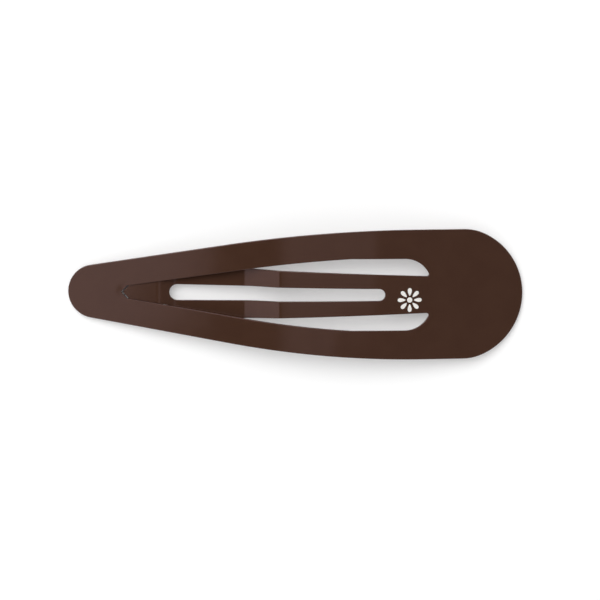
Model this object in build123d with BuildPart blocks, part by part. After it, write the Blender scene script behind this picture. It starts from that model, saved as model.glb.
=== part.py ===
"""Snap hair clip, stamped from one sheet of spring steel and enamelled, drawn snapped shut.

X runs along the clip, from the narrow nose at -X to the wide head at +X, Y is across it and Z is up.
The origin is under the middle of the clip, on the surface that its two ends rest on.
The sheet is divided only where it flexes: at the root of the arms and tongue, at the middle of the
arms and where the arms join the nose. Left and right are as seen from the head, looking to the nose.
"""

import os
from math import asin, atan2, cos, degrees, hypot, radians, sin, sqrt, tan

from build123d import *

# Sheet, in millimetres. The press rolls its upper rims round, and leaves the lower ones square
steel_thickness = 0.6
enamel_thickness = 0.05
rim_radius = 0.16
overrun = 1.0

# Outline, seen from above
clip_length = 76.0
head_width = 21.7
head_bulge = 0.25
shoulder_from_head = 33.3
shoulder_blend = 16.3
nose_radius = 4.47

# Bow of the closed clip, seen from the side, with its slopes in degrees. Both ends are trimmed flat
# where they rest, by a small depth.
flat_head_length = 13.93
head_slope = 11.5
nose_slope = 7.7
rest_depth = 0.04

# Window between the arms
arm_width = 4.5
arm_root_gain = 0.35
arm_front_loss = 0.22
root_from_head = 15.64
window_corner_radius = 4.4
pocket_radius = 0.5
apex_depth = 1.07
apex_half_width = 1.09
apex_corner_radius = 0.3
coin_radius = 1.6
coin_depth = 0.12

# Tongue, seen from above
tongue_root_width = 6.16
tuck_lap = 0.55
shoulder_radius = 4.0
side_clearance = 0.12
tip_gap = 0.58
slot_front_width = 2.68
slot_root_width = 2.0
slot_from_tip = 7.43
slot_from_root = 6.9

# Places along the tongue, from its root, as shares of its length
knee_share = 0.487
tuck_share = 0.594
dip_share = 0.616
widest_share = 0.641
level_share = 0.74
step_share = 0.842

# Tongue, seen from the side
step_run = 2.4
dip_clearance = 0.8
running_clearance = 0.2
tip_recess = 0.35
knee_radius = 0.3
tongue_bend_radius = 1.5

# Flexing line between the arms and the nose, and the most that the clip flexes, in degrees
nose_line_from_nose = 13.8
arm_flex = 16.0
tongue_flex = 1.0

# The sheet as it is handled, and the places along the clip
sheet = steel_thickness + 2 * enamel_thickness
head_x = clip_length / 2
nose_x = -clip_length / 2
half_width = head_width / 2
root_line_x = head_x - root_from_head - pocket_radius
nose_line_x = nose_x + nose_line_from_nose
middle_line_x = (root_line_x + nose_line_x) / 2

# The bow: the head and the nose are flat, and the arms between them follow one arc.
# Its radius is the one that brings both ends down to the same level, just below zero.
head_rise = radians(head_slope)
nose_rise = radians(nose_slope)
arc_head_x = head_x - flat_head_length
arc_run_share = sin(head_rise) + sin(nose_rise)
arc_drop_share = cos(nose_rise) - cos(head_rise)
bow_radius = ((arc_head_x - nose_x) * tan(nose_rise) - flat_head_length * tan(head_rise)) / (
    arc_drop_share + arc_run_share * tan(nose_rise)
)
crest_x = arc_head_x - bow_radius * sin(head_rise)
crest_z = flat_head_length * tan(head_rise) + bow_radius * (1 - cos(head_rise)) - rest_depth
bow_centre_z = crest_z - bow_radius
arc_nose_x = crest_x - bow_radius * sin(nose_rise)

# The outline: straight tapers touch the nose circle and blend into the parallel sides
nose_centre_x = nose_x + nose_radius
shoulder_x = head_x - shoulder_from_head
shoulder_distance = hypot(half_width, shoulder_x - nose_centre_x)
taper = atan2(half_width, shoulder_x - nose_centre_x) - asin(nose_radius / shoulder_distance)
side_radius = shoulder_blend / tan(taper / 2)
side_centre_x = shoulder_x + shoulder_blend
side_centre_y = half_width - side_radius
head_radius = half_width + head_bulge
head_centre_x = head_x - head_radius
head_corner_x = head_centre_x + sqrt(head_radius**2 - half_width**2)

# The window runs an arm's width inside the outline. Its straight edges reach from the corners of its
# pointed end to its curved sides, and it ends in a pocket each side of the tongue.
apex_inset = (nose_radius - arm_width + arm_front_loss) / cos(taper)
apex_corner_x = nose_centre_x + (apex_half_width - apex_inset) / tan(taper)
apex_x = apex_corner_x - apex_depth
window_radius = side_radius - arm_width
window_half_width = half_width - arm_width - arm_root_gain
window_run = side_centre_x - apex_corner_x
window_rise = apex_half_width - side_centre_y
window_taper = asin(window_radius / hypot(window_run, window_rise)) - atan2(window_rise, window_run)
window_arc_x = side_centre_x - window_radius * sin(window_taper)
window_arc_y = side_centre_y + window_radius * cos(window_taper)
window_flat_x = side_centre_x - sqrt(window_radius**2 - (window_half_width - side_centre_y) ** 2)
tongue_root_half = tongue_root_width / 2
pocket_y = tongue_root_half + pocket_radius
corner_centre_y = window_half_width - window_corner_radius
corner_centre_x = root_line_x - sqrt(
    (window_corner_radius - pocket_radius) ** 2 - (pocket_y - corner_centre_y) ** 2
)
pocket_turn = degrees(atan2(pocket_y - corner_centre_y, root_line_x - corner_centre_x))

# Places along the tongue
tip_x = apex_x + tip_gap
tip_corner_x = apex_corner_x + tip_gap
tongue_length = root_line_x - tip_x
knee_x = root_line_x - knee_share * tongue_length
tuck_x = root_line_x - tuck_share * tongue_length
dip_x = root_line_x - dip_share * tongue_length
widest_x = root_line_x - widest_share * tongue_length
level_x = root_line_x - level_share * tongue_length
step_x = root_line_x - step_share * tongue_length
step_top_x = step_x - step_run
knee_turn = head_slope + degrees(asin((crest_x - knee_x) / bow_radius))


def underside(x):
    """Height of the frame's underside at a place along the clip."""
    if x > arc_head_x:
        return (head_x - x) * tan(head_rise) - rest_depth
    if x < arc_nose_x:
        return (x - nose_x) * tan(nose_rise) - rest_depth
    return bow_centre_z + sqrt(bow_radius**2 - (x - crest_x) ** 2)


def top(x):
    """Height of the frame's top at a place along the clip."""
    if x > crest_x + (bow_radius + sheet) * sin(head_rise):
        return (head_x - x) * tan(head_rise) + sheet / cos(head_rise) - rest_depth
    if x < crest_x - (bow_radius + sheet) * sin(nose_rise):
        return (x - nose_x) * tan(nose_rise) + sheet / cos(nose_rise) - rest_depth
    return bow_centre_z + sqrt((bow_radius + sheet) ** 2 - (x - crest_x) ** 2)


def window_edge(x):
    """Half the window's width at a place along the clip, short of its end corners."""
    if x > window_flat_x:
        return window_half_width
    if x > window_arc_x:
        return side_centre_y + sqrt(window_radius**2 - (x - side_centre_x) ** 2)
    along_share = (x - apex_corner_x) / (window_arc_x - apex_corner_x)
    return apex_half_width + along_share * (window_arc_y - apex_half_width)


def under_arms(x, clearance):
    """Height of the tongue's underside where its top runs a clearance below the arms."""
    return underside(x) - sheet - clearance


def across(x):
    """Upright plane across the clip at a flexing line, facing the head."""
    return Plane.YZ.offset(x)


# The coined dish round the window's pointed end is a shallow cap of a ball
coin_x = (apex_x + apex_corner_x) / 2
coin_ball_radius = (coin_radius**2 + coin_depth**2) / (2 * coin_depth)
coin_ball_lift = coin_ball_radius - coin_depth
coin_ball_centre = (
    coin_x - coin_ball_lift * sin(nose_rise),
    0,
    top(coin_x) + coin_ball_lift * cos(nose_rise),
)

# Section along the bowed sheet
with BuildSketch(Plane.XZ) as bowed_section:
    with BuildLine():
        Line((head_x + overrun, underside(head_x + overrun)), (arc_head_x, underside(arc_head_x)))
        CenterArc((crest_x, bow_centre_z), bow_radius, 90 - head_slope, head_slope + nose_slope)
        Line((arc_nose_x, underside(arc_nose_x)), (nose_x - overrun, underside(nose_x - overrun)))
        offset(amount=sheet, side=Side.RIGHT)
    make_face()

# Window, from its pointed end to the pockets beside the tongue's root
with BuildSketch() as window:
    with BuildLine():
        Polyline((apex_x, 0), (apex_corner_x, apex_half_width), (window_arc_x, window_arc_y))
        CenterArc(
            (side_centre_x, side_centre_y),
            window_radius,
            90 + degrees(window_taper),
            degrees(asin((side_centre_x - window_flat_x) / window_radius) - window_taper),
        )
        Line((window_flat_x, window_half_width), (corner_centre_x, window_half_width))
        CenterArc((corner_centre_x, corner_centre_y), window_corner_radius, 90, pocket_turn - 90)
        CenterArc((root_line_x, pocket_y), pocket_radius, pocket_turn, -90 - pocket_turn)
        Line((root_line_x, tongue_root_half), (root_line_x, 0))
        mirror(about=Plane.XZ)
    make_face()
    fillet(window.vertices().sort_by(Axis.X)[:3], radius=apex_corner_radius)

# Outline of the blank, with the window stamped out of it
with BuildSketch() as blank:
    with BuildLine():
        CenterArc((nose_centre_x, 0), nose_radius, 180, degrees(taper) - 90)
        Line(
            (nose_centre_x - nose_radius * sin(taper), nose_radius * cos(taper)),
            (side_centre_x - side_radius * sin(taper), side_centre_y + side_radius * cos(taper)),
        )
        CenterArc((side_centre_x, side_centre_y), side_radius, 90 + degrees(taper), -degrees(taper))
        Line((side_centre_x, half_width), (head_corner_x, half_width))
        CenterArc(
            (head_centre_x, 0), head_radius, 0, degrees(atan2(half_width, head_corner_x - head_centre_x))
        )
        mirror(about=Plane.XZ)
    make_face()
    add(window.sketch, mode=Mode.SUBTRACT)


def upper_rims(sheet_metal):
    """Edges of the upward faces, without the ones that run across at a bend."""
    upward = sheet_metal.faces().filter_by(lambda face: face.normal_at().Z > cos(radians(45)))
    return upward.edges().filter_by(Axis.Y, reverse=True)


# Frame: head, arms and nose in one, as they are stamped and bowed. The upper rims are round, and the
# nose is coined round the window's pointed end, where the tip of the tongue lies. The surface that
# the clip rests on trims its two ends.
with BuildPart() as frame:
    extrude(bowed_section.sketch, amount=half_width + overrun, both=True)
    extrude(blank.sketch, amount=crest_z + sheet + overrun, both=True, mode=Mode.INTERSECT)
    fillet(upper_rims(frame), radius=rim_radius)
    with Locations(coin_ball_centre):
        Sphere(coin_ball_radius, mode=Mode.SUBTRACT)
    split(bisect_by=Plane.XY, keep=Keep.TOP)


def arm_half(line_nearer_nose, line_nearer_head, side):
    """Half an arm's length: the frame between two flexing lines, on one side of the middle."""
    with BuildPart() as arm:
        add(frame.part)
        split(bisect_by=across(line_nearer_head), keep=Keep.BOTTOM)
        split(bisect_by=across(line_nearer_nose), keep=Keep.TOP)
        split(bisect_by=Plane.XZ, keep=side)
    return arm


rear_arm_right = arm_half(middle_line_x, root_line_x, Keep.BOTTOM)
rear_arm_right.part.label = "rear_arm_right"
rear_arm_left = arm_half(middle_line_x, root_line_x, Keep.TOP)
rear_arm_left.part.label = "rear_arm_left"
front_arm_right = arm_half(nose_line_x, middle_line_x, Keep.BOTTOM)
front_arm_right.part.label = "front_arm_right"
front_arm_left = arm_half(nose_line_x, middle_line_x, Keep.TOP)
front_arm_left.part.label = "front_arm_left"

# Head plate: the wide end, which the arms and the tongue spring from
with BuildPart() as head_plate:
    add(frame.part)
    split(bisect_by=across(root_line_x), keep=Keep.TOP)
head_plate.part.label = "head_plate"

# Nose plate: the narrow end, which joins the arms and holds the window's pointed end
with BuildPart() as nose_plate:
    add(frame.part)
    split(bisect_by=across(nose_line_x), keep=Keep.BOTTOM)
nose_plate.part.label = "nose_plate"

# Tongue, seen from above: it widens to pass under the arms, then tapers to fit the window's point
with BuildSketch() as tongue_plan:
    with BuildLine():
        Polyline(
            (root_line_x, 0),
            (root_line_x, tongue_root_half),
            (tuck_x, window_edge(tuck_x)),
            (widest_x, window_edge(widest_x) + tuck_lap),
            (step_x, window_edge(step_x) - side_clearance),
            (tip_corner_x, window_edge(tip_corner_x) - side_clearance),
            (tip_x, 0),
        )
        mirror(about=Plane.XZ)
    make_face()
    fillet(tongue_plan.vertices().sort_by(Axis.X)[3:9], radius=shoulder_radius)
    fillet(tongue_plan.vertices().sort_by(Axis.X)[:3], radius=apex_corner_radius)

# Slot along the tongue, a little wider in front
with BuildSketch() as slot:
    with Locations((tip_x + slot_from_tip + slot_front_width / 2, 0)):
        Circle(slot_front_width / 2)
    with Locations((root_line_x - slot_from_root - slot_root_width / 2, 0)):
        Circle(slot_root_width / 2)
    make_hull()

# Tongue: level with the arms as far as its knee, where it bends down to pass under them. In front
# it steps up again, so that its tip lies in the window's point, a little below the nose's top.
with BuildPart() as tongue:
    with BuildSketch(Plane.XZ):
        with BuildLine() as side_line:
            Line((head_x, underside(head_x)), (arc_head_x, underside(arc_head_x)))
            CenterArc((crest_x, bow_centre_z), bow_radius, 90 - head_slope, knee_turn)
            Polyline(
                (knee_x, underside(knee_x)),
                (dip_x, under_arms(dip_x, dip_clearance)),
                (level_x, under_arms(level_x, running_clearance)),
                (step_x, under_arms(step_x, running_clearance)),
                (step_top_x, underside(step_top_x) - tip_recess),
                (nose_x, underside(nose_x) - tip_recess),
            )
            fillet(side_line.vertices().sort_by(Axis.X)[1:5], radius=tongue_bend_radius)
            fillet(side_line.vertices().sort_by(Axis.X)[-3], radius=knee_radius)
            offset(amount=sheet, side=Side.RIGHT)
        make_face()
    extrude(amount=half_width, both=True)
    extrude(tongue_plan.sketch, amount=crest_z + sheet + overrun, both=True, mode=Mode.INTERSECT)
    fillet(upper_rims(tongue), radius=rim_radius)
    extrude(slot.sketch, amount=crest_z + sheet + overrun, mode=Mode.SUBTRACT)
tongue.part.label = "tongue"

os.makedirs("parts", exist_ok=True)
for piece in (
    head_plate,
    rear_arm_right,
    rear_arm_left,
    front_arm_right,
    front_arm_left,
    nose_plate,
    tongue,
):
    export_step(piece.part, f"parts/{piece.part.label}.step")
    print(piece.part.label, "valid:", piece.part.is_valid, "volume:", round(piece.part.volume, 2))
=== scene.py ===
"""The looks of an enamelled steel snap hair clip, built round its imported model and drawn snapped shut."""

from math import asin, atan2, cos, hypot, pi, radians, sin, sqrt, tan

import bmesh
import bpy
from mathutils import Matrix, Vector


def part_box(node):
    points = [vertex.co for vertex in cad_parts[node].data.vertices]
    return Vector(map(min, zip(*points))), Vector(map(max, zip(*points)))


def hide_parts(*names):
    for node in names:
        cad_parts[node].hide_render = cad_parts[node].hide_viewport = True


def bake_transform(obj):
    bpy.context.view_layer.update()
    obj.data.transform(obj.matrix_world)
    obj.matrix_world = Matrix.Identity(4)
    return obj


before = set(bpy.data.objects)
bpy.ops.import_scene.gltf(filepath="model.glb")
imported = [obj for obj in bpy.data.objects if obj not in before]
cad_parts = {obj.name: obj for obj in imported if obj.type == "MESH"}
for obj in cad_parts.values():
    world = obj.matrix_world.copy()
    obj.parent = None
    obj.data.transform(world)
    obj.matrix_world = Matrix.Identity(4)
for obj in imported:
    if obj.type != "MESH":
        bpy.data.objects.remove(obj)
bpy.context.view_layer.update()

# Head plate: the wide flat end of the sheet, which the arms and the tongue spring from.
# It is stamped from spring steel in one with them, bowed, and dipped in dark brown enamel.
MM = 0.001
sheet = 0.7 * MM
head_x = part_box("head_plate")[1].x
root_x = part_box("head_plate")[0].x
nose_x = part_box("nose_plate")[0].x
half_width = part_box("head_plate")[1].y
flat_head_length = 13.93 * MM
head_slope = radians(11.5)
nose_slope = radians(7.7)
rest_depth = 0.04 * MM
bow_easing = 6.0 * MM
easing_steps = 12

arc_head_x = head_x - flat_head_length
bow_radius = ((arc_head_x - nose_x) * tan(nose_slope) - flat_head_length * tan(head_slope)) / (
    cos(nose_slope) - cos(head_slope) + (sin(head_slope) + sin(nose_slope)) * tan(nose_slope)
)
crest_x = arc_head_x - bow_radius * sin(head_slope)
bow_centre_z = flat_head_length * tan(head_slope) - bow_radius * cos(head_slope) - rest_depth


def frame_lower(x):
    """Height of the underside of the head, arms and nose."""
    if x > crest_x + bow_radius * sin(head_slope):
        return (head_x - x) * tan(head_slope) - rest_depth
    if x < crest_x - bow_radius * sin(nose_slope):
        return (x - nose_x) * tan(nose_slope) - rest_depth
    return bow_centre_z + sqrt(bow_radius**2 - (x - crest_x) ** 2)


def frame_upper(x):
    """Height of the top of the head, arms and nose."""
    outer = bow_radius + sheet
    if x > crest_x + outer * sin(head_slope):
        return (head_x - x) * tan(head_slope) + sheet / cos(head_slope) - rest_depth
    if x < crest_x - outer * sin(nose_slope):
        return (x - nose_x) * tan(nose_slope) + sheet / cos(nose_slope) - rest_depth
    return bow_centre_z + sqrt(outer**2 - (x - crest_x) ** 2)


def eased(height, x):
    """A height along the clip, averaged over a short length so that the bow runs gently into its flats."""
    shares = [2 * (k + 0.5) / easing_steps - 1 for k in range(easing_steps)]
    return sum(height(x + bow_easing * share) for share in shares) / easing_steps


arc_step = 0.3 * MM
fewest_corner_steps = 6
fewest_arc_steps = 8
straight_angle = radians(179.9)
same_point = 0.01 * MM
on_middle_line = 1e-9


def rounded(corners):
    """Points along straight lines through (x, y, radius) corners, with each corner rounded."""
    points = [Vector(corners[0][:2])]
    for before, (x, y, radius), after in zip(corners, corners[1:], corners[2:]):
        corner = Vector((x, y))
        back = (Vector(before[:2]) - corner).normalized()
        on = (Vector(after[:2]) - corner).normalized()
        opening = back.angle(on)
        if radius == 0 or opening > straight_angle:
            points.append(corner)
            continue
        centre = corner + (back + on).normalized() * (radius / sin(opening / 2))
        start = corner + back * (radius / tan(opening / 2)) - centre
        turn = pi - opening
        if back.x * on.y - back.y * on.x > 0:
            turn = -turn
        steps = max(fewest_corner_steps, round(abs(turn) * radius / arc_step))
        points += [centre + Matrix.Rotation(turn * k / steps, 2) @ start for k in range(steps + 1)]
    points.append(Vector(corners[-1][:2]))
    return points


def arc(centre, radius, start, turn):
    """Points along an arc that starts at an angle and turns by another, in radians."""
    steps = max(fewest_arc_steps, round(abs(turn) * radius / arc_step))
    angles = [start + turn * k / steps for k in range(steps + 1)]
    return [Vector((centre[0] + radius * cos(angle), centre[1] + radius * sin(angle))) for angle in angles]


def tidy_chain(points):
    """The same points without the ones that repeat."""
    kept = [points[0]]
    for point in points[1:]:
        if (point - kept[-1]).length > same_point:
            kept.append(point)
    return kept


def outward(chain):
    """Unit normals on the left of a chain of points, which is away from the metal."""
    normals = []
    for k, point in enumerate(chain):
        before = chain[k - 1] if k else None
        after = chain[k + 1] if k + 1 < len(chain) else None
        if before is None:
            before = Vector((after.x, -after.y)) if abs(point.y) < on_middle_line else point
        if after is None:
            after = Vector((before.x, -before.y)) if abs(point.y) < on_middle_line else point
        along = (after - before).normalized()
        normals.append(Vector((-along.y, along.x)))
    return normals


upper_rim = 0.11 * MM
lower_rim = 0.08 * MM
upper_rim_steps = 5
lower_rim_steps = 3
sharp_rim_share = 0.35
sharp_rim_half = 2.6 * MM
sharp_rim_behind = 0.65 * MM
sharp_rim_reach = 8.0 * MM
sharp_rim_fade = 4.0 * MM


def rim_share(point):
    """Share of the full rim at a point of an edge: the window's point is stamped nearly sharp."""
    from_point = point.x - apex_x
    if abs(point.y) > sharp_rim_half or from_point < -sharp_rim_behind:
        return 1
    faded = min(1, max(0, (from_point - sharp_rim_reach) / sharp_rim_fade))
    return sharp_rim_share + (1 - sharp_rim_share) * faded


def rim_rings(share):
    """How far each ring of a stamped edge lies inside the outline, its level, and its normal's turn."""
    rings = []
    upper = share * upper_rim
    for k in range(upper_rim_steps + 1):
        turn = radians(90) * k / upper_rim_steps
        rings.append((upper * (1 - sin(turn)), 1 - upper / sheet * (1 - cos(turn)), turn))
    for k in range(lower_rim_steps + 1):
        turn = radians(90) * (1 + k / lower_rim_steps)
        rings.append((lower_rim * (1 - sin(turn)), lower_rim / sheet * (1 + cos(turn)), turn))
    return rings


station_step = 0.5 * MM
weld_distance = 0.002 * MM
cut_tolerance = 0.001 * MM


def everything(bm):
    """All of a blank's vertices, edges and faces."""
    return bm.verts[:] + bm.edges[:] + bm.faces[:]


def divided(bm, geom, place, facing, drop=False):
    """Cuts through part of a blank at a plane, and can drop what lies on the facing side of it."""
    return bmesh.ops.bisect_plane(
        bm, geom=geom, dist=cut_tolerance, plane_co=place, plane_no=facing, clear_outer=drop
    )


def stamped(chains, first_x, last_x):
    """The flat blank between mirrored chains of points, as a bmesh with x, y and level for coordinates.

    It is cut across at stations close enough to be bowed, and keeps each vertex's flat normal."""
    bm = bmesh.new()
    turned = bm.verts.layers.float_vector.new("flat_normal")
    top, bottom = [], []
    for chain in chains:
        normals = outward(chain)
        rings = [rim_rings(rim_share(point)) for point in chain]
        rows = []
        for ring in zip(*rings):
            row = []
            for point, normal, (inside, level, turn) in zip(chain, normals, ring):
                place = point - normal * inside
                if abs(point.y) < on_middle_line:
                    place.y = 0
                vert = bm.verts.new((place.x, place.y, level * sheet))
                vert[turned] = (normal.x * sin(turn), normal.y * sin(turn), cos(turn))
                row.append(vert)
            rows.append(row)
        for upper, lower in zip(rows, rows[1:]):
            for k in range(len(chain) - 1):
                bm.faces.new((upper[k], upper[k + 1], lower[k + 1], lower[k]))
        top += rows[0]
        bottom += rows[-1]
    bm.faces.new(reversed(top))
    bm.faces.new(bottom)
    bmesh.ops.recalc_face_normals(bm, faces=bm.faces)
    half = bmesh.ops.duplicate(bm, geom=everything(bm))["geom"]
    mirrored_faces = [part for part in half if isinstance(part, bmesh.types.BMFace)]
    for vert in (part for part in half if isinstance(part, bmesh.types.BMVert)):
        vert.co.y = -vert.co.y
        x, y, z = vert[turned]
        vert[turned] = (x, -y, z)
    bmesh.ops.reverse_faces(bm, faces=mirrored_faces)
    bmesh.ops.remove_doubles(bm, verts=bm.verts, dist=weld_distance)
    stations = round((last_x - first_x) / station_step)
    for k in range(stations + 1):
        station_x = first_x + (last_x - first_x) * k / stations
        divided(bm, everything(bm), (station_x, 0, 0), (1, 0, 0))
    return bm


def crossed(bm, low, high, step):
    """Divides the part of a blank between two corners into small squares, for a form pressed into it."""
    for axis in (0, 1):
        facing = Vector((1 - axis, axis, 0))
        for k in range(round((high[axis] - low[axis]) / step) + 1):
            faces = [
                face
                for face in bm.faces
                if low[0] < face.calc_center_median().x < high[0]
                and max(vert.co.y for vert in face.verts) > low[1]
                and min(vert.co.y for vert in face.verts) < high[1]
            ]
            verts = dict.fromkeys(vert for face in faces for vert in face.verts)
            edges = dict.fromkeys(edge for face in faces for edge in face.edges)
            divided(bm, [*verts, *edges, *faces], facing * (low[axis] + k * step), facing)


def cut_off(bm, x, facing):
    """Cuts a blank across at x, drops what lies on the facing side and closes the cut."""
    cut = divided(bm, everything(bm), (x, 0, 0), (facing, 0, 0), drop=True)
    edges = [part for part in cut["geom_cut"] if isinstance(part, bmesh.types.BMEdge) and part.is_boundary]
    bmesh.ops.holes_fill(bm, edges=edges, sides=0)


def placed(name, bm):
    """A new object in the scene with the mesh that a bmesh holds."""
    mesh = bpy.data.meshes.new(name)
    bm.to_mesh(mesh)
    bm.free()
    piece = bpy.data.objects.new(name, mesh)
    bpy.context.scene.collection.objects.link(piece)
    return piece


nudge = 0.01 * MM
level_nudge = 0.01
cap_facing = 0.999
cap_flatness = 1e-8


def bent_sheet(name, bm, place):
    """Bows a blank: place gives the point in space of (x, y, level), and normals follow it."""
    turned = bm.verts.layers.float_vector["flat_normal"]
    bm.normal_update()
    bm.verts.index_update()
    normals, rims, moved = [], [], []
    for vert in bm.verts:
        x, y, level = vert.co.x, vert.co.y, vert.co.z / sheet
        across_x = (place(x + nudge, y, level) - place(x - nudge, y, level)) / (2 * nudge)
        across_y = (place(x, y + nudge, level) - place(x, y - nudge, level)) / (2 * nudge)
        risen = place(x, y, level + level_nudge) - place(x, y, level - level_nudge)
        through = risen / (2 * level_nudge * sheet)
        flat = Vector(vert[turned])
        normal = flat.x * across_y.cross(through) + flat.y * through.cross(across_x)
        normal += flat.z * across_x.cross(across_y)
        normals.append(normal.normalized())
        rims.append(min(1.0, hypot(flat.x, flat.y)))
        moved.append(place(x, y, level))
    caps = []
    for face in bm.faces:
        cap_x = face.verts[0].co.x
        in_one_plane = all(abs(vert.co.x - cap_x) < cap_flatness for vert in face.verts)
        caps.append(in_one_plane and abs(face.normal.x) > cap_facing)
    for vert, new_place in zip(bm.verts, moved):
        vert.co = new_place
    piece = placed(name, bm)
    mesh = piece.data
    mesh.attributes.new("rim", "FLOAT", "POINT").data.foreach_set("value", rims)
    mesh.shade_smooth()
    corner_normals = []
    for face, is_cap in zip(mesh.polygons, caps):
        corner_normals += [face.normal if is_cap else normals[k] for k in face.vertices]
    mesh.normals_split_custom_set(corner_normals)
    return piece


class Value:
    """A socket of a shader's node tree, with sums written as they are on paper."""

    def __init__(self, tree, socket=None):
        self.tree, self.socket = tree, socket

    def node(self, kind, settings=None, inputs=None, output=0):
        made = self.tree.nodes.new(kind)
        for key, value in (settings or {}).items():
            setattr(made, key, value)
        for key, value in (inputs or {}).items():
            if isinstance(value, Value):
                self.tree.links.new(value.socket, made.inputs[key])
            else:
                made.inputs[key].default_value = value
        return Value(self.tree, made.outputs[output])

    def maths(self, operation, *terms):
        return self.node("ShaderNodeMath", {"operation": operation}, dict(enumerate(terms)))

    def __add__(self, other):
        return self.maths("ADD", self, other)

    def __sub__(self, other):
        return self.maths("SUBTRACT", self, other)

    def __rsub__(self, other):
        return self.maths("SUBTRACT", other, self)

    def __mul__(self, other):
        return self.maths("MULTIPLY", self, other)

    def __truediv__(self, other):
        return self.maths("DIVIDE", self, other)

    def __rtruediv__(self, other):
        return self.maths("DIVIDE", other, self)

    __radd__, __rmul__ = __add__, __mul__

    def at_least(self, lowest):
        """This number, or the lowest one where it is less."""
        return self.maths("MAXIMUM", self, lowest)

    def ray_is(self, *kinds):
        """1 for the named kinds of ray, such as Camera, and 0 for the others."""
        path = self.node("ShaderNodeLightPath").socket.node
        return sum(Value(self.tree, path.outputs[f"Is {kind} Ray"]) for kind in kinds)

    def parts(self):
        """The three numbers of a vector."""
        split = self.node("ShaderNodeSeparateXYZ", {}, {0: self}).socket.node
        return [Value(self.tree, output) for output in split.outputs]

    def ramp(self, low, high):
        """0 below low and 1 above high, with a smooth rise between."""
        return self.node(
            "ShaderNodeMapRange",
            {"interpolation_type": "SMOOTHSTEP"},
            {"Value": self, "From Min": low, "From Max": high, "To Min": 0.0, "To Max": 1.0},
        )

    def mixed(self, first, second):
        """One colour where this is 0, another where it is 1."""
        return self.node("ShaderNodeMix", {"data_type": "RGBA"}, {0: self, 6: first, 7: second}, output=2)

    def noise(self, scale, detail):
        """Cloudy noise at this place, from 0 to 1."""
        return self.node("ShaderNodeTexNoise", {}, {"Vector": self, "Scale": scale, "Detail": detail})


def new_finish(name):
    """A new material, its tree's coordinates and its main shader."""
    finish = bpy.data.materials.new(name)
    finish.use_nodes = True
    tree = finish.node_tree
    where = Value(tree).node("ShaderNodeTexCoord", output=3)
    return finish, where, tree.nodes["Principled BSDF"]


enamel_brown = (0.0480, 0.0222, 0.0136, 1)
enamel_pale = (0.0510, 0.0238, 0.0147, 1)
# Rim colour: thinner enamel, made lighter still as a painted highlight along the rims.
thin_and_highlit_rim_colour = (0.0680, 0.0330, 0.0230, 1)
enamel_tint = (1.0, 0.72, 0.76, 1)
enamel_ior = 1.5
enamel_roughness = 0.05
cloud_roughness = 0.03
rim_roughness = 0.4
cloud_scale = 260.0
cloud_detail = 3.0
cloud_edges = (0.35, 0.65)
peel_scale = 1500.0
peel_detail = 2.0
peel_strength = 0.06
peel_depth = 0.02 * MM
thin_and_highlit_rim_edges = (0.3, 1.0)
dull_rim_edges = (0.5, 1.0)


def enamel(name):
    """Baked dark brown enamel: glossy, faintly clouded, with an orange peel, and lighter on the rims, where
    it is thinner and a highlight is painted.
    """
    finish, where, shader = new_finish(name)
    links = finish.node_tree.links
    cloud = where.noise(cloud_scale, cloud_detail)
    peel = where.noise(peel_scale, peel_detail)
    rim = where.node("ShaderNodeAttribute", {"attribute_name": "rim"}, output=2)
    body = cloud.ramp(*cloud_edges).mixed(enamel_brown, enamel_pale)
    # The rims are lighter: the enamel is thinner there, and a highlight is painted on them too.
    colour = rim.ramp(*thin_and_highlit_rim_edges).mixed(body, thin_and_highlit_rim_colour)
    links.new(colour.socket, shader.inputs["Base Color"])
    roughness = enamel_roughness + cloud_roughness * cloud + rim_roughness * rim.ramp(*dull_rim_edges)
    links.new(roughness.socket, shader.inputs["Roughness"])
    bump = where.node(
        "ShaderNodeBump", {}, {"Height": peel, "Strength": peel_strength, "Distance": peel_depth}
    )
    links.new(bump.socket, shader.inputs["Normal"])
    shader.inputs["IOR"].default_value = enamel_ior
    shader.inputs["Specular Tint"].default_value = enamel_tint
    return finish


brown_enamel = enamel("brown_enamel")

head_radius_gain = 0.25 * MM
head_radius = half_width + head_radius_gain
head_corner_radius = 8.0 * MM
nose_radius = 4.47 * MM
shoulder_from_head = 33.3 * MM
shoulder_x = head_x - shoulder_from_head
shoulder_blend = 16.3 * MM
arm_width = 4.5 * MM
arm_root_gain = 0.35 * MM
arm_front_loss = 0.22 * MM
window_corner_radius = 4.4 * MM
pocket_radius = 0.36 * MM
tongue_root_half = 3.08 * MM
apex_depth = 1.07 * MM
apex_half_width = 1.09 * MM
point_radius = 0.3 * MM

taper_run = shoulder_x - nose_x - nose_radius
taper = atan2(half_width, taper_run) - asin(nose_radius / hypot(half_width, taper_run))
side_radius = shoulder_blend / tan(taper / 2)
side_centre = Vector((shoulder_x + shoulder_blend, half_width - side_radius))
head_centre_x = head_x - head_radius
head_corner_y = half_width - head_corner_radius
head_corner_x = head_centre_x + sqrt((head_radius - head_corner_radius) ** 2 - head_corner_y**2)
head_turn = atan2(head_corner_y, head_corner_x - head_centre_x)
apex_inset = (nose_radius - arm_width + arm_front_loss) / cos(taper)
apex_corner_x = nose_x + nose_radius + (apex_half_width - apex_inset) / tan(taper)
apex_x = apex_corner_x - apex_depth
window_radius = side_radius - arm_width
window_half = half_width - arm_width - arm_root_gain
to_side_centre = side_centre - Vector((apex_corner_x, apex_half_width))
window_taper = asin(window_radius / to_side_centre.length) + atan2(to_side_centre.y, to_side_centre.x)
window_flat_x = side_centre.x - sqrt(window_radius**2 - (window_half - side_centre.y) ** 2)
pocket_y = tongue_root_half + pocket_radius
corner_centre_y = window_half - window_corner_radius
corner_centre_x = root_x - sqrt(
    (window_corner_radius - pocket_radius) ** 2 - (pocket_y - corner_centre_y) ** 2
)
pocket_turn = atan2(pocket_y - corner_centre_y, root_x - corner_centre_x)


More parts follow.
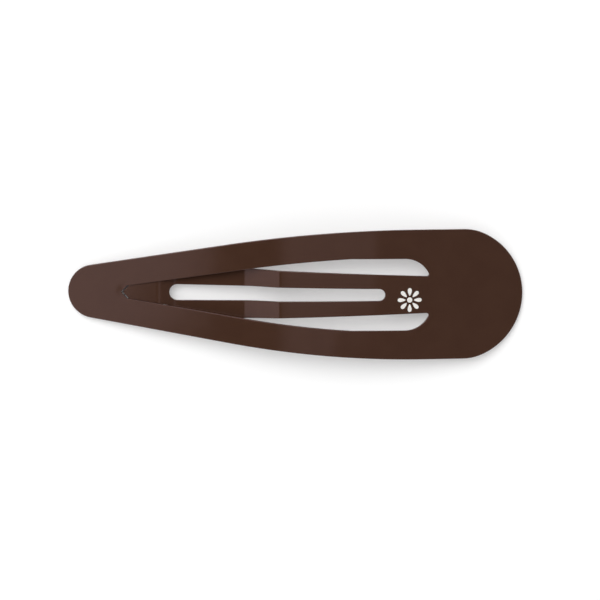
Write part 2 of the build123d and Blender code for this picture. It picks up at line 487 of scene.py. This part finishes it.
def pointed(point_x, slope, radius):
    """First corners of a pointed end that is rounded: its middle and where its side leaves upright."""
    x = point_x + radius * (1 / sin(slope) - 1)
    return [(x, 0, 0), (x, radius * tan((radians(90) - slope) / 2), radius)]


outline = rounded(
    [
        (nose_x, 0, 0),
        (nose_x, nose_radius * tan((radians(90) - taper) / 2), nose_radius),
        (shoulder_x, half_width, side_radius),
        (head_corner_x, half_width, 0),
    ]
)
outline += arc((head_corner_x, head_corner_y), head_corner_radius, radians(90), head_turn - radians(90))
outline += arc((head_centre_x, 0), head_radius, head_turn, -head_turn)
apex_slope = atan2(apex_half_width, apex_depth)
flat_rise = asin((side_centre.x - window_flat_x) / window_radius)
window_arc = arc(side_centre, window_radius, radians(90) + window_taper, flat_rise - window_taper)
window_front = rounded(
    pointed(apex_x, apex_slope, point_radius)
    + [
        (apex_corner_x, apex_half_width, point_radius),
        (*window_arc[0], 0),
    ]
)
window_root = arc((root_x, pocket_y), pocket_radius, radians(-90), pocket_turn + radians(90)) + arc(
    (corner_centre_x, corner_centre_y), window_corner_radius, pocket_turn, radians(90) - pocket_turn
)
window = tidy_chain([Vector((root_x, 0))] + window_root + window_arc[::-1] + window_front[::-1])

coin_radius = 1.7 * MM
coin_depth = 0.012 * MM
coin_step = 0.16 * MM
coin_margin = 1.1
coin_x = apex_x + apex_depth / 2
coin_reach = coin_margin * coin_radius


def on_frame(x, y, level):
    """Place of a point of the blank on the bowed frame, with the coined dish round the window's point."""
    low, high = eased(frame_lower, x), eased(frame_upper, x)
    from_point = hypot(x - coin_x, y) / coin_radius
    dish = coin_depth * max(0.0, 1 - from_point**2) ** 2
    return Vector((x, y, max(0.0, low + level * (high - low - dish))))


frame_blank = stamped([tidy_chain(outline), window], nose_x, head_x)
crossed(frame_blank, (coin_x - coin_reach, -coin_reach), (coin_x + coin_reach, coin_reach), coin_step)
rear_seam_x = 8.0 * MM
front_seam_x = -12.0 * MM

head_blank = frame_blank.copy()
cut_off(head_blank, root_x, -1)
head = bent_sheet("head", head_blank, on_frame)
head.data.materials.append(brown_enamel)
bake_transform(head)
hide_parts("head_plate")


def arm_between(name, nearer_nose, nearer_head, side):
    """One arm's length between two cuts, on one side of the tongue."""
    blank = frame_blank.copy()
    cut_off(blank, nearer_head, 1)
    cut_off(blank, nearer_nose, -1)
    others = [face for face in blank.faces if face.calc_center_median().y * side < tongue_root_half]
    bmesh.ops.delete(blank, geom=others, context="FACES")
    return bent_sheet(name, blank, on_frame)


for side, word in ((1, "right"), (-1, "left")):
    rear = arm_between(f"rear_arm_{word}_bend", rear_seam_x, root_x, side)
    rear.data.materials.append(brown_enamel)
    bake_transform(rear)
    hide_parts(f"rear_arm_{word}")

    middle = arm_between(f"front_arm_{word}_bend", front_seam_x, rear_seam_x, side)
    middle.data.materials.append(brown_enamel)
    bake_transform(middle)
    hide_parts(f"front_arm_{word}")


# Nose: the narrow end that is pressed to snap the clip. It is the front of the same stamped sheet,
# joins the two arms, and is coined round the window's point, where the tongue's tip lies.
nose_blank = frame_blank.copy()
cut_off(nose_blank, front_seam_x, 1)
nose = bent_sheet("nose", nose_blank, on_frame)
nose.data.materials.append(brown_enamel)
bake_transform(nose)
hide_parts("nose_plate")
frame_blank.free()


# Tongue: the slotted middle blade of the same sheet, which the hair is held against. It is pressed
# down at a knee to pass under the arms, and steps up again so that its tip lies in the window's point.
tuck_lap = 0.55 * MM
step_lap = 0.2 * MM
side_clearance = 0.03 * MM
step_side_clearance = 0.01 * MM
tip_gap = 0.36 * MM
shoulder_radius = 4.0 * MM
slot_front_half = 1.34 * MM
slot_root_half = 1.0 * MM
slot_from_point = 8.14 * MM
slot_from_root = 6.9 * MM
knee_share = 0.487
tuck_share = 0.594
dip_share = 0.578
widest_share = 0.641
step_share = 0.837
step_run = 2.5 * MM
dip_clearance = 1.07 * MM
step_clearance = 0.5 * MM
step_recess = 0.31 * MM
tip_recess = 0.25 * MM
knee_radius = 0.5 * MM
dip_radius = 9.0 * MM
step_foot_radius = 3.0 * MM
step_radius = 0.2 * MM
root_overlap = 1 * MM
knee_lead = 1 * MM
knee_reach = 0.5 * MM

tip_x = apex_x + tip_gap
tip_corner_x = apex_corner_x + tip_gap
tongue_length = root_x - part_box("tongue")[0].x


def along_tongue(share):
    """Place on the clip of a share of the tongue's length from its root."""
    return root_x - share * tongue_length


def window_edge(x):
    """Half the window's width in front of its corners."""
    if x > window_flat_x:
        return window_half
    bend_end_x = side_centre.x - window_radius * sin(window_taper)
    if x > bend_end_x:
        return side_centre.y + sqrt(window_radius**2 - (x - side_centre.x) ** 2)
    return apex_half_width + (x - apex_corner_x) * tan(window_taper)


knee_x, tuck_x, dip_x = along_tongue(knee_share), along_tongue(tuck_share), along_tongue(dip_share)
widest_x, step_x = along_tongue(widest_share), along_tongue(step_share)
step_middle_x = step_x - step_run / 2
step_top_x = step_x - step_run
tip_half = window_edge(tip_corner_x) - side_clearance
root_end_x = root_x + root_overlap
blade = rounded(
    pointed(tip_x, atan2(tip_half, apex_depth), point_radius)
    + [
        (tip_corner_x, tip_half, point_radius),
        (step_middle_x, window_edge(step_middle_x) - step_side_clearance, shoulder_radius),
        (step_x, window_edge(step_x) + step_lap, shoulder_radius),
        (widest_x, window_edge(widest_x) + tuck_lap, shoulder_radius),
        (tuck_x, window_edge(tuck_x), shoulder_radius),
        (root_x, tongue_root_half, 0),
        (root_end_x, tongue_root_half, 0),
        (root_end_x, 0, 0),
    ]
)
slot_front_x = apex_x + slot_from_point + slot_front_half
slot_root_x = root_x - slot_from_root - slot_root_half
slot_lean = asin((slot_front_half - slot_root_half) / (slot_root_x - slot_front_x))
slot = arc((slot_root_x, 0), slot_root_half, 0, radians(90) - slot_lean) + arc(
    (slot_front_x, 0), slot_front_half, radians(90) - slot_lean, radians(90) + slot_lean
)
behind_knee_x = knee_x + knee_lead
tongue_bends = [
    (behind_knee_x, eased(frame_lower, behind_knee_x), 0),
    (knee_x, eased(frame_lower, knee_x), knee_radius),
    (dip_x, eased(frame_lower, dip_x) - sheet - dip_clearance, dip_radius),
    (step_x, eased(frame_lower, step_x) - sheet - step_clearance, step_foot_radius),
    (step_top_x, eased(frame_lower, step_top_x) - step_recess, step_radius),
    (tip_x, eased(frame_lower, tip_x) - tip_recess, 0),
]
tongue_line = rounded(tongue_bends)[::-1]
tongue_top_line = [point + normal * sheet for point, normal in zip(tongue_line, outward(tongue_line))]


def on_line(line, x):
    """Height at x of a line of points that runs towards +X."""
    low, high = 0, len(line) - 1
    while high - low > 1:
        half = (low + high) // 2
        if line[half].x > x:
            high = half
        else:
            low = half
    share = (x - line[low].x) / (line[high].x - line[low].x)
    return line[low].y + share * (line[high].y - line[low].y)


def on_tongue(x, y, level):
    """Place of a point of the tongue's blank on the bowed and stepped tongue."""
    if x > knee_x + knee_reach:
        low, high = eased(frame_lower, x), eased(frame_upper, x)
    else:
        low, high = on_line(tongue_line, x), on_line(tongue_top_line, x)
    return Vector((x, y, low + level * (high - low)))


tongue_blank = stamped([tidy_chain(blade), tidy_chain(slot)], tip_x, root_end_x)
cut_off(tongue_blank, root_x + upper_rim, 1)
tongue = bent_sheet("tongue_blade", tongue_blank, on_tongue)
tongue.data.materials.append(brown_enamel)
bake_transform(tongue)
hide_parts("tongue")


# Print: a small daisy on the tongue's root. It is a film of white ink, rolled on after the enamel
# is baked, and it is worn in specks.
daisy_place = Vector((19.05 * MM, -0.85 * MM))
daisy_petals = 8
petal_reach = 2.0 * MM
petal_half_width = 0.37 * MM
petal_start = 0.7 * MM
petal_root_share = 0.45
petal_swell = 0.75
eye_radius = 0.44 * MM
rim_points = 28
ink_depth = 0.012 * MM
ink_sink = 0.2 * ink_depth
ink_white = (0.78, 0.76, 0.73, 1)
ink_worn = (0.60, 0.57, 0.53, 1)
ink_roughness = 0.45
speck_scale = 5200.0
speck_detail = 3.0
speck_edges = (0.5, 0.75)


def inked(bm, outline_points):
    """Adds one closed shape of ink, with its edge, on the tongue's top."""
    rows = []
    for lift in (-ink_sink, ink_depth):
        rise = Vector((0, 0, lift))
        rows.append([bm.verts.new(on_tongue(point.x, point.y, 1) + rise) for point in outline_points])
    low, high = rows
    bm.faces.new(high)
    bm.faces.new(reversed(low))
    for k in range(len(high)):
        bm.faces.new((low[k - 1], low[k], high[k], high[k - 1]))


daisy_bm = bmesh.new()
rim_angles = [2 * pi * k / rim_points for k in range(rim_points)]
for petal in range(daisy_petals):
    turn = Matrix.Rotation(2 * pi * petal / daisy_petals, 2)
    shape = []
    for angle in rim_angles:
        out = (1 - cos(angle)) / 2
        width = petal_half_width * sin(angle) * (petal_root_share + petal_swell * out)
        shape.append(daisy_place + turn @ Vector((petal_start + out * (petal_reach - petal_start), width)))
    inked(daisy_bm, shape)
eye_start = Vector((eye_radius, 0))
inked(daisy_bm, [daisy_place + Matrix.Rotation(angle, 2) @ eye_start for angle in rim_angles])
daisy = placed("daisy_print", daisy_bm)

white_ink, ink_where, ink_shader = new_finish("white_ink")
speck = ink_where.noise(speck_scale, speck_detail)
ink_colour = speck.ramp(*speck_edges).mixed(ink_white, ink_worn)
white_ink.node_tree.links.new(ink_colour.socket, ink_shader.inputs["Base Color"])
ink_shader.inputs["Roughness"].default_value = ink_roughness
daisy.data.materials.append(white_ink)
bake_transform(daisy)


# Floor: a white studio table with a matt top. It glows a little for the camera, which keeps it
# white and leaves the clip's shadow on it. Under the window's point the glow is left out, as a painted
# shade.
floor_size = 3.0
floor_grey = (0.88, 0.88, 0.88, 1)
floor_roughness = 0.9
glow_part = 0.19
glow_strength = 1.45
painted_shade_x = apex_x + 0.7 * MM
painted_shade_half_length = 2.2 * MM
painted_shade_half_width = 1.5 * MM
painted_shade_edges = (0.6, 1.3)
floor_bm = bmesh.new()
bmesh.ops.create_grid(floor_bm, x_segments=1, y_segments=1, size=floor_size / 2)
floor = placed("floor", floor_bm)
floor_white, floor_where, floor_shader = new_finish("floor_white")
floor_tree = floor_white.node_tree
floor_shader.inputs["Base Color"].default_value = floor_grey
floor_shader.inputs["Roughness"].default_value = floor_roughness
floor_shader.inputs["Specular IOR Level"].default_value = 0.0
seen = floor_where.ray_is("Camera", "Glossy", "Transmission")
glow = floor_where.node("ShaderNodeEmission", {}, {"Strength": glow_strength})
table_x, table_y, _ = floor_where.parts()
# Painted shade: the camera's glow is left out in a small oval under the window's point.
painted_shade_along = (table_x - painted_shade_x) / painted_shade_half_length
painted_shade_across = table_y / painted_shade_half_width
outside_painted_shade = (painted_shade_along * painted_shade_along + painted_shade_across * painted_shade_across).ramp(*painted_shade_edges)
glow_share = seen * glow_part * outside_painted_shade
diffuse = Value(floor_tree, floor_shader.outputs[0])
shown = floor_where.node("ShaderNodeMixShader", {}, {0: glow_share, 1: diffuse, 2: glow})
floor_tree.links.new(shown.socket, floor_tree.nodes["Material Output"].inputs["Surface"])
floor.data.materials.append(floor_white)


# Light: a tent of white cloth round the table, with a lamp behind its far side. The cloth is parted
# overhead towards the right, and the enamel mirrors this dim opening, with a faint strip of light
# in it over the crest of the bow. Edges along and across are slopes, run over rise.
tent_light = 0.5
tent_left_light = 0.42
tent_left_edges = (-0.35, -0.15)
key_light = 3.9
key_from = Vector((-0.25, 0.42, 0.87)).normalized()
key_edges = (0.86, 0.975)
key_near_edges = (0.04, 0.14)
opening_light = 0.1
opening_dim_share = 0.2
opening_dim_edges = (-0.2, -0.1)
opening_left_edges = (-0.309, -0.299)
opening_right_edges = (0.6, 0.75)
opening_near_edges = (-0.36, -0.28)
opening_far_edges = (0.02, 0.1)
near_flap_edges = (-0.119, -0.115)
near_flap_lean = 0.005
corner_left_edges = (-0.328, -0.316)
corner_far_edges = (-0.1245, -0.1225)
crest_light = 0.3
crest_left_edges = (-0.17, -0.1)
crest_right = 0.205
crest_near_cut = 0.15
crest_blur = 0.02
least_rise = 0.02

world = bpy.data.worlds.new("studio")
bpy.context.scene.world = world
world.use_nodes = True
direction = Value(world.node_tree).node("ShaderNodeTexCoord", output=0)
to_right, to_far, upward = direction.parts()
height = upward.at_least(least_rise)
across = to_right / height
along = to_far / height
near_side = 1 - along.ramp(*near_flap_edges)
near_corner = across.ramp(*corner_left_edges) * (1 - along.ramp(*corner_far_edges))
straight_part = (across + near_flap_lean * near_side).ramp(*opening_left_edges)
left_part = 1 - (1 - near_corner) * (1 - straight_part)
opening = left_part * (1 - across.ramp(*opening_right_edges))
opening = opening * along.ramp(*opening_near_edges) * (1 - along.ramp(*opening_far_edges))
crest_end = crest_right - crest_near_cut * near_side
crest = across.ramp(*crest_left_edges) * (1 - (across - crest_end).ramp(-crest_blur, crest_blur))
near_key = to_right * key_from.x + to_far * key_from.y + upward * key_from.z
key = key_light * near_key.ramp(*key_edges) * along.ramp(*key_near_edges)
tent = tent_light + tent_left_light * (1 - to_right.ramp(*tent_left_edges)) + key
dim_share = opening_dim_share + (1 - opening_dim_share) * across.ramp(*opening_dim_edges)
inside_opening = opening_light * dim_share + crest * crest_light
strength = (1 - opening) * tent + opening * inside_opening
background = world.node_tree.nodes["Background"]
background.inputs["Color"].default_value = (1, 1, 1, 1)
looked_at = direction.ray_is("Camera", "Transmission")
shown_strength = looked_at + (1 - looked_at) * strength
world.node_tree.links.new(shown_strength.socket, background.inputs["Strength"])


# Camera: a long lens almost straight above the clip, leaning a little to the far side.
# It is aimed so that the clip fills the picture as it does in the photograph.
frame_width = 100.54 * MM
camera_distance = 600 * MM
camera_lean = radians(6.3)
camera_roll = radians(0.29)
aim = Vector((0.80 * MM, -1.42 * MM, 0))
sensor_width = 36
nearest_shown = 0.01
farthest_shown = 10
camera_data = bpy.data.cameras.new("camera")
camera_data.sensor_width = sensor_width
camera_data.lens = sensor_width * camera_distance / frame_width
camera_data.clip_start = nearest_shown
camera_data.clip_end = farthest_shown
camera = bpy.data.objects.new("camera", camera_data)
bpy.context.scene.collection.objects.link(camera)
camera.location = aim + camera_distance * Vector((0, sin(camera_lean), cos(camera_lean)))
camera.rotation_mode = "QUATERNION"
camera.rotation_quaternion = (
    Matrix.Rotation(-camera_lean, 3, "X") @ Matrix.Rotation(camera_roll, 3, "Z")
).to_quaternion()
bpy.context.scene.camera = camera
bpy.context.scene.view_settings.view_transform = "Standard"
